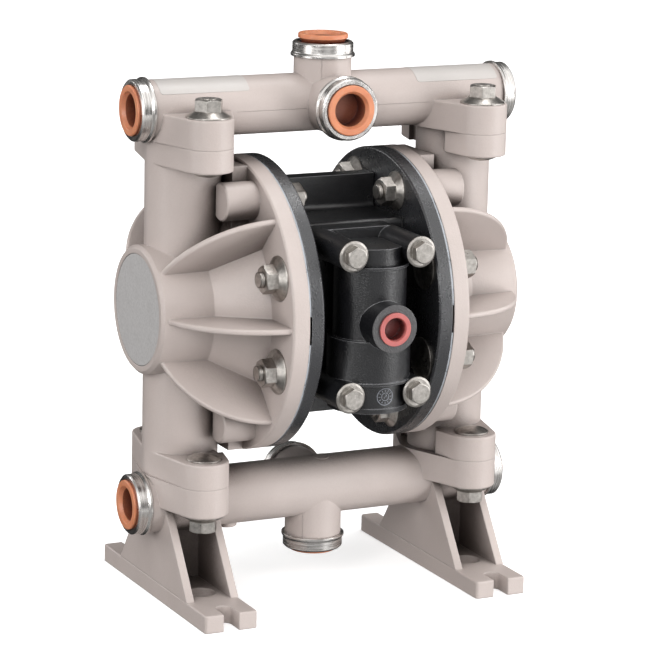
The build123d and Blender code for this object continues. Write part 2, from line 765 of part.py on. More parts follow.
def centre_body():
    """Air motor body between the two air caps."""
    main = block((-body_half_x, body_half_x), (-body_half_y, body_half_y),
                 (pump_z - body_half_z, pump_z + body_half_z))
    main = fillet(main.edges().filter_by(Axis.X), body_edge_r)
    web = block((-body_half_x, body_half_x), (web_front_y, web_front_y + web_t),
                (pump_z - web_half_z, pump_z + web_half_z))
    body = main + web
    roots = []
    for edge in body.edges().filter_by(Axis.X):
        at_shoulder = abs(abs(edge.center().Z - pump_z) - body_half_z) < 0.01
        if at_shoulder and abs(edge.center().Y) < web_front_y + web_t + 1:
            roots.append(edge)
    body = fillet(roots, web_root_r)
    exhaust = Pos(0, 0, pump_z + exhaust_rise)
    rear_y = body_half_y + exhaust_boss_len
    body += exhaust * rod_along_y(exhaust_boss_r, body_half_y - 1, rear_y)
    body -= exhaust * rod_along_y(exhaust_thread_r, rear_y - exhaust_thread_len, rear_y + 1)
    body -= exhaust * rod_along_y(exhaust_passage_r, -body_half_y - 1, rear_y)
    on_axis = Pos(0, 0, pump_z)
    recess_x = body_half_x - pocket_depth
    feed = Pos(0, -feed_cross_y, feed_z)
    body -= on_axis * rod_along_x(rod_bore_r, -body_half_x, body_half_x)
    pilot = Pos(0, 0, pump_z - pilot_drop)
    body -= pilot * rod_along_x(pilot_bore_r, -body_half_x, body_half_x)
    for side in (-1, 1):
        body -= on_axis * rod_along_x(pocket_r, side * recess_x, side * (body_half_x + 1))
        body -= on_axis * rod_along_x(bush_r, side * bush_start, side * body_half_x)
        body -= pilot * rod_along_x(pilot_bush_r, side * (recess_x - pilot_bush_len), side * body_half_x)
        body -= Pos(side * feed_x, 0, feed_z) * rod_along_y(feed_r, -body_half_y - 1, -feed_cross_y)
        body -= feed * rod_along_x(feed_r, side * (feed_x - feed_r), side * body_half_x)
        for level in (-1, 1):
            hole = rod_along_y(m6_shank_r + thread_gap, -body_half_y - 1, -body_half_y + m6_depth + 1)
            body -= Pos(side * valve_bolt_x, 0, valve_mid_z + level * valve_bolt_z) * hole
    for place in cap_screw_places():
        hole = place * rod_along_x(cap_screw_r + thread_gap, -cap_screw_len - 1, 0)
        body -= both_sides(hole)
    return body


def rod_bushes():
    bush = rod_along_x(bush_r - fit_gap, bush_start, bush_start + bush_len)
    bush -= rod_along_x(rod_r + run_gap, 0, body_half_x)
    return both_sides(Pos(0, 0, pump_z) * bush)


def rod_seals():
    """Lip seals between each bush and the air chamber."""
    start = bush_start + bush_len + fit_gap
    seal = rod_along_x(bush_r - fit_gap, start, start + seal_len)
    seal -= rod_along_x(rod_r + run_gap, 0, body_half_x)
    return both_sides(Pos(0, 0, pump_z) * seal)


def pilot_bushes():
    recess_x = body_half_x - pocket_depth
    bush = rod_along_x(pilot_bush_r - fit_gap, recess_x - pilot_bush_len, recess_x)
    bush -= rod_along_x(pilot_r + run_gap, 0, body_half_x)
    return both_sides(Pos(0, 0, pump_z - pilot_drop) * bush)


def pilot_rod():
    return Pos(0, 0, pump_z - pilot_drop) * rod_along_x(pilot_r, -pilot_tip_x, pilot_tip_x)


def connecting_rod():
    end = diaphragm_x - inner_washer_t
    rod = rod_along_x(rod_r, -end, end)
    hole = rod_along_x(rod_screw_r + thread_gap, end - rod_screw_len, end + 1)
    return Pos(0, 0, pump_z) * (rod - hole - left_of(hole))


def inner_washer():
    start = diaphragm_x - inner_washer_t
    washer = turned([(start, rod_screw_r + fit_gap), (start, washer_r - washer_edge),
                     (start + washer_edge, washer_r), (diaphragm_x, washer_r),
                     (diaphragm_x, rod_screw_r + fit_gap)])
    return Pos(0, 0, pump_z) * washer


def outer_washer():
    end = cap_x + outer_washer_t
    washer = turned([(cap_x, rod_screw_r + fit_gap), (cap_x, washer_r), (end - 2 * washer_edge, washer_r),
                     (end, washer_r - 2 * washer_edge), (end, rod_screw_r + fit_gap)])
    return Pos(0, 0, pump_z) * washer


def rod_screw():
    """Flanged screw that clamps the plates and the diaphragm to the rod."""
    seat = cap_x + outer_washer_t
    inner_end = diaphragm_x - inner_washer_t - rod_screw_len + 1
    head = rod_along_x(rod_screw_flange_r, seat, seat + rod_screw_flange_t)
    head += hex_along_x(rod_screw_af, seat + rod_screw_flange_t, seat + rod_screw_h)
    return Pos(0, 0, pump_z) * (head + rod_along_x(rod_screw_r, inner_end, seat))


def diaphragm():
    """Flexible sheet with one rolled convolution, clamped over its whole rim."""
    inner_r = washer_r + convolution_gap
    outer_r = chamber_r - convolution_gap
    middle_r = (inner_r + outer_r) / 2
    rim_r = flange_r - diaphragm_edge_in
    bore_r = rod_screw_r + fit_gap
    near = diaphragm_x
    far = cap_x
    outline = (Polyline((near, bore_r), (near, inner_r + diaphragm_t))
               + ThreePointArc((near, inner_r + diaphragm_t), (near + convolution_h, middle_r),
                               (near, outer_r - diaphragm_t))
               + Polyline((near, outer_r - diaphragm_t), (near, rim_r), (far, rim_r), (far, outer_r))
               + ThreePointArc((far, outer_r), (far + convolution_h, middle_r), (far, inner_r))
               + Polyline((far, inner_r), (far, bore_r), (near, bore_r)))
    sheet = Pos(0, 0, pump_z) * revolve(make_face(outline), Axis.X)
    for angle in bolt_angles:
        sheet -= bolt_place(angle) * rod_along_x(m8_hole_r, near - 1, far + 1)
    for row in (-1, 1):
        edge = row * flange_r
        slot = block((near - 1, far + 1), (min(edge, edge - row * notch_y), max(edge, edge - row * notch_y)),
                     (pump_z - notch_z / 2, pump_z + notch_z / 2))
        sheet -= slot
    return sheet


# Valve

def valve_block():
    """Valve housing: upright cylinder, four bolt bosses and the air inlet boss."""
    back = body_half_y + valve_gasket_t
    low_z = valve_mid_z - valve_bolt_z - valve_boss_r
    high_z = valve_mid_z + valve_bolt_z + valve_boss_r
    body = block((-slab_half_x, slab_half_x), (-back - slab_t, -back), (low_z, high_z))
    body = fillet(body.edges().filter_by(Axis.Y), valve_boss_r - 0.01)
    axis = Pos(0, -valve_y, 0)
    body += axis * rod_along_z(valve_upper_r, valve_seam_z, valve_top_z)
    body += axis * rod_along_z(valve_lower_r, valve_bottom_z, valve_seam_z)
    body += axis * rod_along_z(valve_upper_r + valve_lip_r, valve_top_z - valve_lip_t, valve_top_z)
    body += axis * rod_along_z(valve_lower_r + valve_lip_r, valve_bottom_z, valve_bottom_z + valve_lip_t)
    for side in (-1, 1):
        for level in (-1, 1):
            place = Pos(side * valve_bolt_x, 0, valve_mid_z + level * valve_bolt_z)
            body += place * rod_along_y(valve_boss_r, -valve_boss_end_y, -back - 1)
    inlet = Pos(0, 0, valve_mid_z)
    body += inlet * rod_along_y(inlet_boss_r, -inlet_boss_y, -valve_y)
    return body - valve_holes()


def valve_holes():
    """Spool bore, inlet, feed and exhaust passages, and bolt holes."""
    back = body_half_y + valve_gasket_t
    axis = Pos(0, -valve_y, 0)
    inlet = Pos(0, 0, valve_mid_z)
    thread_start = inlet_boss_y - inlet_mouth_len
    thread_end = thread_start - inlet_thread_len
    holes = [axis * rod_along_z(spool_bore_r, valve_bottom_z - 1, valve_top_z + 1),
             inlet * rod_along_y(inlet_mouth_r, -inlet_boss_y - 1, -thread_start),
             inlet * rod_along_y(inlet_thread_r, -thread_start - 1, -thread_end),
             inlet * rod_along_y(inlet_thread_r - 1, -thread_end - 1, -valve_y),
             Pos(0, 0, pump_z + exhaust_rise) * rod_along_y(feed_r, -valve_y, -back + 1)]
    for side in (-1, 1):
        holes.append(Pos(side * feed_x, 0, feed_z) * rod_along_y(feed_r, -valve_y, -back + 1))
        for level in (-1, 1):
            place = Pos(side * valve_bolt_x, 0, valve_mid_z + level * valve_bolt_z)
            holes.append(place * rod_along_y(m6_hole_r, -valve_boss_end_y - 1, -back + 1))
    return holes


def valve_gasket():
    low_z = valve_mid_z - valve_bolt_z - valve_boss_r
    high_z = valve_mid_z + valve_bolt_z + valve_boss_r
    back = body_half_y + valve_gasket_t
    sheet = block((-slab_half_x, slab_half_x), (-back, -body_half_y), (low_z, high_z))
    sheet = fillet(sheet.edges().filter_by(Axis.Y), valve_boss_r - 0.01)
    sheet -= Pos(0, 0, pump_z + exhaust_rise) * rod_along_y(exhaust_passage_r, -back - 1, -body_half_y + 1)
    for side in (-1, 1):
        sheet -= Pos(side * feed_x, 0, feed_z) * rod_along_y(feed_r, -back - 1, -body_half_y + 1)
        for level in (-1, 1):
            place = Pos(side * valve_bolt_x, 0, valve_mid_z + level * valve_bolt_z)
            sheet -= place * rod_along_y(m6_hole_r, -back - 1, -body_half_y + 1)
    return sheet


def bolt_clearance(radius):
    """Rods round the four valve bolt bosses, to keep the end caps clear of them."""
    rods = []
    for side in (-1, 1):
        for level in (-1, 1):
            place = Pos(side * valve_bolt_x, 0, valve_mid_z + level * valve_bolt_z)
            rods.append(place * rod_along_y(radius, -inlet_boss_y, 0))
    return rods


def upper_valve_cap():
    """Cover of the spool bore with a spigot that enters it."""
    axis = Pos(0, -valve_y, 0)
    cap = axis * rod_along_z(upper_cap_r, valve_top_z, valve_top_z + upper_cap_t)
    cap += axis * rod_along_z(spool_bore_r - fit_gap, valve_top_z - spigot_len, valve_top_z)
    cap -= block((-slab_half_x, slab_half_x), (-body_half_y - valve_gasket_t - slab_t - fit_gap, 0),
                 (valve_top_z - spigot_len - 1, valve_top_z + upper_cap_t + 1))
    return cap - bolt_clearance(valve_boss_r + fit_gap)


def lower_valve_cap():
    axis = Pos(0, -valve_y, 0)
    bottom = valve_bottom_z - lower_cap_t
    cap = axis * rod_along_z(lower_cap_r, bottom, valve_bottom_z)
    cap += axis * rod_along_z(lower_cap_r + valve_lip_r, bottom - lower_rim_t, bottom)
    cap += axis * rod_along_z(spool_bore_r - fit_gap, valve_bottom_z, valve_bottom_z + spigot_len)
    cap -= block((-slab_half_x, slab_half_x), (-body_half_y - valve_gasket_t - slab_t - fit_gap, 0),
                 (bottom - lower_rim_t - 1, valve_bottom_z + spigot_len + 1))
    return cap - bolt_clearance(valve_boss_r + fit_gap)


def spool_base():
    """Height of the spool's lower end, standing on the lower end cap."""
    return valve_bottom_z + spigot_len + spool_end_gap


def spool_ring_heights():
    """Middle height of each sealing ring, one on each of the three lands."""
    first = spool_base() + spool_land / 2
    step = (spool_len - spool_land) / 2
    return [first, first + step, first + 2 * step]


def valve_spool():
    """Three lands and two waists, with a groove in each land."""
    axis = Pos(0, -valve_y, 0)
    base = spool_base()
    body = axis * rod_along_z(spool_waist_r, base, base + spool_len)
    for height in spool_ring_heights():
        body += axis * rod_along_z(spool_bore_r - run_gap, height - spool_land / 2, height + spool_land / 2)
    for height in spool_ring_heights():
        groove = rod_along_z(spool_bore_r + 1, height - spool_ring_t / 2, height + spool_ring_t / 2)
        groove -= rod_along_z(spool_bore_r - spool_ring_depth, height - spool_ring_t, height + spool_ring_t)
        body -= axis * groove
    return body


def spool_seals():
    rings = []
    for height in spool_ring_heights():
        ring = rod_along_z(spool_bore_r - run_gap, height - spool_ring_t / 2, height + spool_ring_t / 2)
        ring -= rod_along_z(spool_bore_r - spool_ring_depth, height - spool_ring_t, height + spool_ring_t)
        rings.append(Pos(0, -valve_y, 0) * ring)
    return rings


def air_inlet_plug():
    """Shipping plug of the air inlet."""
    body_r = inlet_mouth_r - plug_gap
    end = -inlet_mouth_len + plug_gap
    plug = turned([(end, 0), (end, body_r - plug_gap), (0, body_r), (0, red_flange_r),
                   (red_flange_t, red_flange_r), (red_flange_t, red_cavity_r + 0.5),
                   (0, red_cavity_r), (end + plug_floor_t, red_cavity_r), (end + plug_floor_t, 0)])
    return Pos(0, -inlet_boss_y, valve_mid_z) * Rot(0, 0, -90) * plug


def valve_bolts():
    bolts = []
    length = valve_boss_end_y - body_half_y + m6_depth
    for side in (-1, 1):
        for level in (-1, 1):
            place = Pos(side * valve_bolt_x, -valve_boss_end_y, valve_mid_z + level * valve_bolt_z)
            bolts.append(place * Rot(0, 0, -90) * m6_bolt(length))
    return bolts


# Assembly

def at_ducts(piece, joint_z):
    """Copies of a check valve piece on the left and the right duct."""
    return [Pos(side * duct_x, 0, joint_z) * piece for side in (-1, 1)]


def pump():
    """Every node's name and its solids."""
    cap = right_fluid_cap()
    disc = right_end_disc()
    air_cap = right_air_cap()
    gasket = air_cap_gasket()
    sheet = diaphragm()
    bolts = [right_cap_bolt(angle) for angle in bolt_angles]
    nuts = [right_cap_nut(angle) for angle in bolt_angles]
    screws = [place * cap_screw() for place in cap_screw_places()]
    nodes = {
        "left_fluid_cap": left_of(cap), "right_fluid_cap": cap,
        "left_end_disc": left_of(disc), "right_end_disc": disc,
        "left_air_cap": left_of(air_cap), "right_air_cap": air_cap,
        "left_diaphragm": left_of(sheet), "right_diaphragm": sheet,
        "left_inner_plate": left_of(inner_washer()), "right_inner_plate": inner_washer(),
        "left_outer_plate": left_of(outer_washer()), "right_outer_plate": outer_washer(),
        "rod_end_screws": both_sides(rod_screw()),
        "connecting_rod": connecting_rod(), "rod_bushes": rod_bushes(), "rod_seals": rod_seals(),
        "pilot_rod": pilot_rod(), "pilot_bushes": pilot_bushes(),
        "left_cap_bolts": [left_of(bolt) for bolt in bolts], "right_cap_bolts": bolts,
        "left_cap_nuts": [left_of(nut) for nut in nuts], "right_cap_nuts": nuts,
        "air_cap_screws": screws + [left_of(screw) for screw in screws],
        "air_cap_gaskets": both_sides(gasket),
        "centre_body": centre_body(),
        "outlet_manifold": outlet_manifold(), "inlet_manifold": inlet_manifold(),
        "upper_manifold_bolts": at_manifold_bolts(upper_manifold_bolt()),
        "upper_manifold_nuts": at_manifold_bolts(upper_manifold_nut()),
        "lower_manifold_bolts": at_manifold_bolts(lower_manifold_bolt()),
        "lower_manifold_nuts": at_manifold_bolts(lower_manifold_nut()),
        "outlet_ball_seats": at_ducts(ball_seat(), outlet_joint_z),
        "inlet_ball_seats": at_ducts(ball_seat(), inlet_joint_z),
        "outlet_seat_seals": at_ducts(seat_seal(), outlet_joint_z),
        "inlet_seat_seals": at_ducts(seat_seal(), inlet_joint_z),
        "valve_block": valve_block(), "valve_gasket": valve_gasket(),
        "upper_valve_cap": upper_valve_cap(), "lower_valve_cap": lower_valve_cap(),
        "valve_spool": valve_spool(), "spool_seals": spool_seals(),
        "valve_bolts": valve_bolts(), "air_inlet_plug": air_inlet_plug(),
    }
    for level, joint_z in (("outlet", outlet_joint_z), ("inlet", inlet_joint_z)):
        left, right = at_ducts(ball(), joint_z)
        nodes[f"{level}_left_ball"] = left
        nodes[f"{level}_right_ball"] = right
        names = [name for name in port_places if name.startswith(level)]
        nodes[f"{level}_port_rings"] = [port_places[name] * port_ring() for name in names]
    for name, place in port_places.items():
        lift = top_plug_lift if name == "outlet_top" else 0
        nodes[f"{name}_plug"] = place * Pos(lift, 0, 0) * port_plug()
    return nodes


def write_parts():
    """Writes one STEP file for each node."""
    os.makedirs("parts", exist_ok=True)
    for name, piece in pump().items():
        shape = Compound(children=piece) if isinstance(piece, list) else piece
        export_step(shape, f"parts/{name}.step")


write_parts()
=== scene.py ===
import bpy
import bmesh
import json
import math
from mathutils import Matrix, Vector


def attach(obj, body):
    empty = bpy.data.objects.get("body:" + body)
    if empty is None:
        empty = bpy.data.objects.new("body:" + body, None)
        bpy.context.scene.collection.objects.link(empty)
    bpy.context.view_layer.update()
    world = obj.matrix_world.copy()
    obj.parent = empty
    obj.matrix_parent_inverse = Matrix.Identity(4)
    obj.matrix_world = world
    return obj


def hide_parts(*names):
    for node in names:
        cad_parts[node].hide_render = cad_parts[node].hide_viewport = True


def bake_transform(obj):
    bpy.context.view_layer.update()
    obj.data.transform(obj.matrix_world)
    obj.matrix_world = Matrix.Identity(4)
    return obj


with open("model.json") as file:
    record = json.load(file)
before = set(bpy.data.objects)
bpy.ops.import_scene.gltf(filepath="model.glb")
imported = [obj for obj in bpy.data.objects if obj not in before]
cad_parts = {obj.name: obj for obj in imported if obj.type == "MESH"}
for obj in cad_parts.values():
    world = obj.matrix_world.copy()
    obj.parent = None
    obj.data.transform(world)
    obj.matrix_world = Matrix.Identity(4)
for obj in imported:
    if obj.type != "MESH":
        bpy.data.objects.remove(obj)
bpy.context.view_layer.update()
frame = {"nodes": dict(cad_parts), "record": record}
mm = 0.001


# Materials

class Paint:
    """One procedural material, built node by node."""

    def __init__(self, name):
        self.material = bpy.data.materials.new(name)
        self.material.use_nodes = True
        self.tree = self.material.node_tree
        self.shader = self.tree.nodes["Principled BSDF"]
        self.place = self.tree.nodes.new("ShaderNodeTexCoord").outputs["Object"]

    def link(self, source, target):
        self.tree.links.new(source, target)

    def set(self, **values):
        for name, value in values.items():
            self.shader.inputs[name.replace("_", " ")].default_value = value

    def axes(self):
        """X, Y and Z of the shaded point, in metres."""
        split = self.tree.nodes.new("ShaderNodeSeparateXYZ")
        self.link(self.place, split.inputs["Vector"])
        return split.outputs

    def noise(self, scale, detail=3.0, roughness=0.55, stretch=(1, 1, 1)):
        node = self.tree.nodes.new("ShaderNodeTexNoise")
        node.inputs["Scale"].default_value = scale
        node.inputs["Detail"].default_value = detail
        node.inputs["Roughness"].default_value = roughness
        node.normalize = True
        mapping = self.tree.nodes.new("ShaderNodeMapping")
        mapping.inputs["Scale"].default_value = stretch
        self.link(self.place, mapping.inputs["Vector"])
        self.link(mapping.outputs["Vector"], node.inputs["Vector"])
        return node.outputs["Fac"]

    def ramp(self, source, low, high, start=0.0, end=1.0):
        """Values from low to high while the source goes from start to end."""
        node = self.tree.nodes.new("ShaderNodeMapRange")
        node.inputs["From Min"].default_value = start
        node.inputs["From Max"].default_value = end
        node.inputs["To Min"].default_value = low
        node.inputs["To Max"].default_value = high
        self.link(source, node.inputs["Value"])
        return node.outputs["Result"]

    def mix(self, factor, first, second):
        node = self.tree.nodes.new("ShaderNodeMix")
        node.data_type = "RGBA"
        # An RGBA mix has its factor and its two colours in these sockets.
        for slot, value in ((0, factor), (6, first), (7, second)):
            if isinstance(value, (int, float, tuple)):
                node.inputs[slot].default_value = value
            else:
                self.link(value, node.inputs[slot])
        return node.outputs[2]

    def math(self, kind, first, second=0.0):
        node = self.tree.nodes.new("ShaderNodeMath")
        node.operation = kind
        for slot, value in enumerate((first, second)):
            if isinstance(value, (int, float)):
                node.inputs[slot].default_value = value
            else:
                self.link(value, node.inputs[slot])
        return node.outputs[0]

    def soft_normal(self, radius):
        """Normal with every sharp edge rounded to a radius."""
        node = self.tree.nodes.new("ShaderNodeBevel")
        node.samples = 6
        node.inputs["Radius"].default_value = radius
        return node.outputs["Normal"]

    def edges(self, radius, start=0.02, end=0.25):
        """Mask of sharp edges: how far the rounded normal leans from the true one."""
        true_normal = self.tree.nodes.new("ShaderNodeNewGeometry").outputs["Normal"]
        dot = self.tree.nodes.new("ShaderNodeVectorMath")
        dot.operation = "DOT_PRODUCT"
        self.link(self.soft_normal(radius), dot.inputs[0])
        self.link(true_normal, dot.inputs[1])
        return self.ramp(self.math("SUBTRACT", 1.0, dot.outputs["Value"]), 0.0, 1.0, start, end)

    def hollows(self, distance):
        """Mask of crevices, 1 in the open and 0 deep inside."""
        node = self.tree.nodes.new("ShaderNodeAmbientOcclusion")
        node.samples = 6
        node.inputs["Distance"].default_value = distance
        return node.outputs["AO"]

    def bump(self, height, distance, strength=1.0, normal=None):
        node = self.tree.nodes.new("ShaderNodeBump")
        node.inputs["Distance"].default_value = distance
        node.inputs["Strength"].default_value = strength
        self.link(height, node.inputs["Height"])
        if normal is not None:
            self.link(normal, node.inputs["Normal"])
        return node.outputs["Normal"]

    def finish(self, colour, roughness, normal):
        self.link(colour, self.shader.inputs["Base Color"])
        self.link(roughness, self.shader.inputs["Roughness"])
        self.link(normal, self.shader.inputs["Normal"])
        return self.material


def rgb(red, green, blue):
    return (red, green, blue, 1)


def darker(colour, share):
    return tuple(share * value for value in colour[:3]) + (1,)


def moulded(name, light, dark, shade, rough, edge_r, grain, edge_highlight_colour, edge_highlight_share,
            reach=0.018, shade_share=0.85, relief=0.00014):
    """Moulded plastic with cloudy colour, fine grain, soft edges, a painted highlight on its edges
    and painted shade in its crevices.

    Lengths are in metres. reach is how near a wall has to be for the painted shade to darken a
    point.
    """
    paint = Paint(name)
    cloud = paint.noise(22.0, 4.0)
    speckle = paint.noise(1500.0, 2.0)
    colour = paint.mix(paint.ramp(cloud, 0.0, 1.0, 0.35, 0.65), light, dark)
    colour = paint.mix(paint.ramp(speckle, 0.0, 0.06, 0.45, 0.75), colour, shade)
    # Painted highlight: sharp edges are lightened towards the edge highlight colour.
    edge = paint.math("MULTIPLY", paint.edges(edge_r), edge_highlight_share)
    colour = paint.mix(edge, colour, edge_highlight_colour)
    # Painted shade: points near walls darken towards the shade colour.
    hollow_shade = paint.ramp(paint.hollows(reach), 0.0, shade_share, 0.45, 0.03)
    colour = paint.mix(hollow_shade, colour, shade)
    # Painted shade, deeper, in wide hollows.
    deep_shade = paint.ramp(paint.hollows(reach * 2.4), 0.0, shade_share, 0.46, 0.14)
    colour = paint.mix(deep_shade, colour, darker(shade, 0.35))
    # Painted shade, darkest, in tight cracks.
    crack_shade = paint.ramp(paint.hollows(0.0025), 0.0, 0.9, 0.45, 0.05)
    colour = paint.mix(crack_shade, colour, darker(shade, 0.2))
    roughness = paint.ramp(paint.noise(260.0, 3.0), rough - 0.06, rough + 0.08)
    soft = paint.soft_normal(edge_r)
    normal = paint.bump(paint.noise(grain, 2.0), relief, 0.7, soft)
    normal = paint.bump(paint.noise(70.0, 2.0), 0.0008, 0.08, normal)
    paint.finish(colour, roughness, normal)
    return paint


def metal(name, light, dark, rough, spread, grain, edge_r, dents=0.0, metallic=1.0,
          dirt_and_shade=rgb(0.05, 0.042, 0.036), reach=0.006):
    """Bare or plated metal with spangle, small dents, soft edges, dirt smudges and painted shade
    in its corners.
    """
    paint = Paint(name)
    paint.set(Metallic=metallic)
    patches = paint.noise(grain, 3.0, 0.6)
    colour = paint.mix(paint.ramp(patches, 0.0, 1.0, 0.3, 0.7), dark, light)
    smudge = paint.ramp(paint.noise(90.0, 3.0), 0.0, 0.14, 0.52, 0.80)
    colour = paint.mix(smudge, colour, dirt_and_shade)
    # Painted shade: near walls the colour goes to the dirt colour.
    hollow_shade = paint.ramp(paint.hollows(reach), 0.0, 0.9, 0.50, 0.10)
    colour = paint.mix(hollow_shade, colour, dirt_and_shade)
    roughness = paint.ramp(paint.noise(grain * 1.7, 3.0, 0.6), rough, rough + spread, 0.3, 0.7)
    roughness = paint.math("ADD", roughness, paint.math("MULTIPLY", hollow_shade, 0.25))
    soft = paint.soft_normal(edge_r)
    normal = paint.bump(paint.noise(grain * 2.0, 2.0, 0.5), 0.00006, 0.35, soft)
    if dents:
        normal = paint.bump(paint.noise(110.0, 2.0), 0.0006, dents, normal)
    return paint.finish(colour, roughness, normal)


def spun_ring(name):
    """Tinned steel pressing with streaks round each port's axis and a few dents."""
    side_ports_x = 0.090
    front_ports_y = 0.0205
    half_height_z, upright_ports_z = 0.152, 0.118
    squeeze = 24
    paint = Paint(name)
    paint.set(Metallic=1.0)
    place = paint.axes()
    at_side = paint.math("GREATER_THAN", paint.math("ABSOLUTE", place["X"]), side_ports_x)
    height = paint.math("ABSOLUTE", paint.math("SUBTRACT", place["Z"], half_height_z))
    off_level = paint.math("GREATER_THAN", paint.math("ABSOLUTE", place["Y"]), front_ports_y)
    along_y = paint.noise(60.0, 4.0, 0.65, (1, squeeze, 1))
    along_z = paint.noise(60.0, 4.0, 0.65, (1, 1, squeeze))
    along_x = paint.noise(60.0, 4.0, 0.65, (squeeze, 1, 1))
    streaks = paint.mix(off_level, along_z, along_y)
    streaks = paint.mix(paint.math("GREATER_THAN", height, upright_ports_z), streaks, along_z)
    streaks = paint.mix(at_side, streaks, along_x)
    bright = paint.ramp(streaks, 0.0, 1.0, 0.35, 0.65)
    colour = paint.mix(bright, rgb(0.50, 0.48, 0.465), rgb(0.90, 0.875, 0.85))
    smudge = paint.ramp(paint.noise(70.0, 3.0), 0.0, 0.30, 0.50, 0.80)
    colour = paint.mix(smudge, colour, rgb(0.20, 0.18, 0.17))
    # Painted shade: near walls the tin darkens to near black.
    hollow_shade = paint.ramp(paint.hollows(0.004), 0.0, 0.9, 0.55, 0.10)
    colour = paint.mix(hollow_shade, colour, rgb(0.03, 0.026, 0.024))
    roughness = paint.ramp(streaks, 0.20, 0.34, 0.3, 0.7)
    normal = paint.bump(streaks, 0.00008, 0.5, paint.soft_normal(0.0003))
    normal = paint.bump(paint.noise(110.0, 2.0), 0.0006, 0.10, normal)
    return paint.finish(colour, roughness, normal)


def soft_plug(name, light, deep_tone_and_shade, cavity_shade):
    """Soft moulded shipping plug, with painted shade in its hollows that is darkest deep inside
    its cavity.
    """
    paint = Paint(name)
    paint.set(Subsurface_Weight=0.2, Subsurface_Scale=0.003, Subsurface_Radius=(1.0, 0.4, 0.2))
    cloud = paint.noise(130.0, 3.0)
    colour = paint.mix(paint.ramp(cloud, 0.0, 0.30, 0.3, 0.7), light, deep_tone_and_shade)
    # Painted shade: near walls the colour goes to the deep tone, and deep in the cavity to the
    # cavity shade colour.
    hollow_shade = paint.ramp(paint.hollows(0.014), 0.0, 1.0, 0.86, 0.30)
    colour = paint.mix(hollow_shade, colour, deep_tone_and_shade)
    cavity_floor_shade = paint.ramp(paint.hollows(0.020), 0.0, 1.0, 0.62, 0.22)
    colour = paint.mix(cavity_floor_shade, colour, cavity_shade)
    roughness = paint.ramp(paint.noise(500.0), 0.30, 0.46)
    normal = paint.bump(paint.noise(900.0, 2.0), 0.0001, 0.35, paint.soft_normal(0.0005))
    return paint.finish(colour, roughness, normal)


def valve_plastic():
    """Black plastic of the valve and centre body, with a painted reflection that makes the air
    inlet boss's front face paler.
    """
    reflection_from_y, reflection_to_y = -0.0880, -0.0884
    paint = moulded("moulded_black", rgb(0.0095, 0.0098, 0.0115), rgb(0.0055, 0.0055, 0.007),
                    rgb(0.0015, 0.0015, 0.0015), 0.29, 0.0006, 1250.0, rgb(0.36, 0.36, 0.38), 0.85,
                    reach=0.014, shade_share=0.9, relief=0.00026)
    paint.set(Specular_IOR_Level=0.85)
    # Painted reflection: the boss's front face is mixed to a paler grey.
    reflection_on_face = paint.ramp(paint.axes()["Y"], 0.0, 1.0, reflection_from_y, reflection_to_y)
    base = paint.shader.inputs["Base Color"]
    paint.link(paint.mix(reflection_on_face, base.links[0].from_socket, rgb(0.050, 0.048, 0.050)), base)
    return paint.material


def air_cap_plastic():
    """Black plastic of the two air caps: glossier, and lighter in colour than the valve's as a
    painted sheen on their rims.
    """
    # Painted sheen: a lighter copy of the black plastic, with a little more gloss.
    paint = moulded("satin_black_painted_sheen", rgb(0.026, 0.0265, 0.030), rgb(0.018, 0.0185, 0.021),
                    rgb(0.002, 0.002, 0.002), 0.27, 0.0006, 1250.0, rgb(0.36, 0.36, 0.38), 0.85,
                    reach=0.014, shade_share=0.9, relief=0.0002)
    paint.set(Specular_IOR_Level=1.0)
    return paint.material


greige = moulded("moulded_greige", rgb(0.53, 0.462, 0.435), rgb(0.485, 0.420, 0.394),
                 rgb(0.12, 0.085, 0.072), 0.37, 0.0010, 1100.0, rgb(0.68, 0.62, 0.59), 0.30,
                 reach=0.026, shade_share=0.92).material
black = valve_plastic()
painted_sheen_black = air_cap_plastic()
bare_disc = metal("bare_disc", rgb(0.60, 0.585, 0.58), rgb(0.50, 0.485, 0.48), 0.48, 0.12, 700.0,
                  0.0004, metallic=0.35, dirt_and_shade=rgb(0.30, 0.28, 0.27), reach=0.0015)
tin = spun_ring("tinned_ring")
zinc = metal("zinc_plate", rgb(0.55, 0.52, 0.49), rgb(0.34, 0.32, 0.295), 0.27, 0.14, 520.0,
             0.0004, dents=0.10)
# Painted shade: a darker copy of the zinc for the cap bolts that sit between the caps.
shaded_zinc = metal("zinc_painted_shade", rgb(0.32, 0.30, 0.28), rgb(0.12, 0.11, 0.10), 0.24, 0.20, 260.0,
                  0.0004, dents=0.20, reach=0.012)
steel = metal("ground_steel", rgb(0.70, 0.70, 0.70), rgb(0.52, 0.52, 0.53), 0.18, 0.14, 900.0,
              0.0002)
alloy = metal("machined_alloy", rgb(0.74, 0.75, 0.76), rgb(0.60, 0.61, 0.63), 0.26, 0.14, 800.0,
              0.0003)
pale_sheet = moulded("pale_sheet", rgb(0.50, 0.53, 0.57), rgb(0.44, 0.47, 0.51),
                     rgb(0.26, 0.28, 0.31), 0.40, 0.0004, 1500.0, rgb(0.56, 0.59, 0.63),
                     0.3).material
nitrile = moulded("black_nitrile", rgb(0.022, 0.022, 0.022), rgb(0.014, 0.014, 0.014),
                  rgb(0.004, 0.004, 0.004), 0.55, 0.0003, 1800.0, rgb(0.08, 0.08, 0.08),
                  0.4).material
acetal = moulded("acetal", rgb(0.74, 0.71, 0.63), rgb(0.68, 0.65, 0.57), rgb(0.3, 0.27, 0.22),
                 0.34, 0.0004, 1200.0, rgb(0.85, 0.83, 0.76), 0.3).material
white_ball = moulded("white_ball", rgb(0.82, 0.81, 0.78), rgb(0.76, 0.75, 0.72),
                     rgb(0.4, 0.38, 0.35), 0.30, 0.0004, 1200.0, rgb(0.9, 0.9, 0.88), 0.2).material
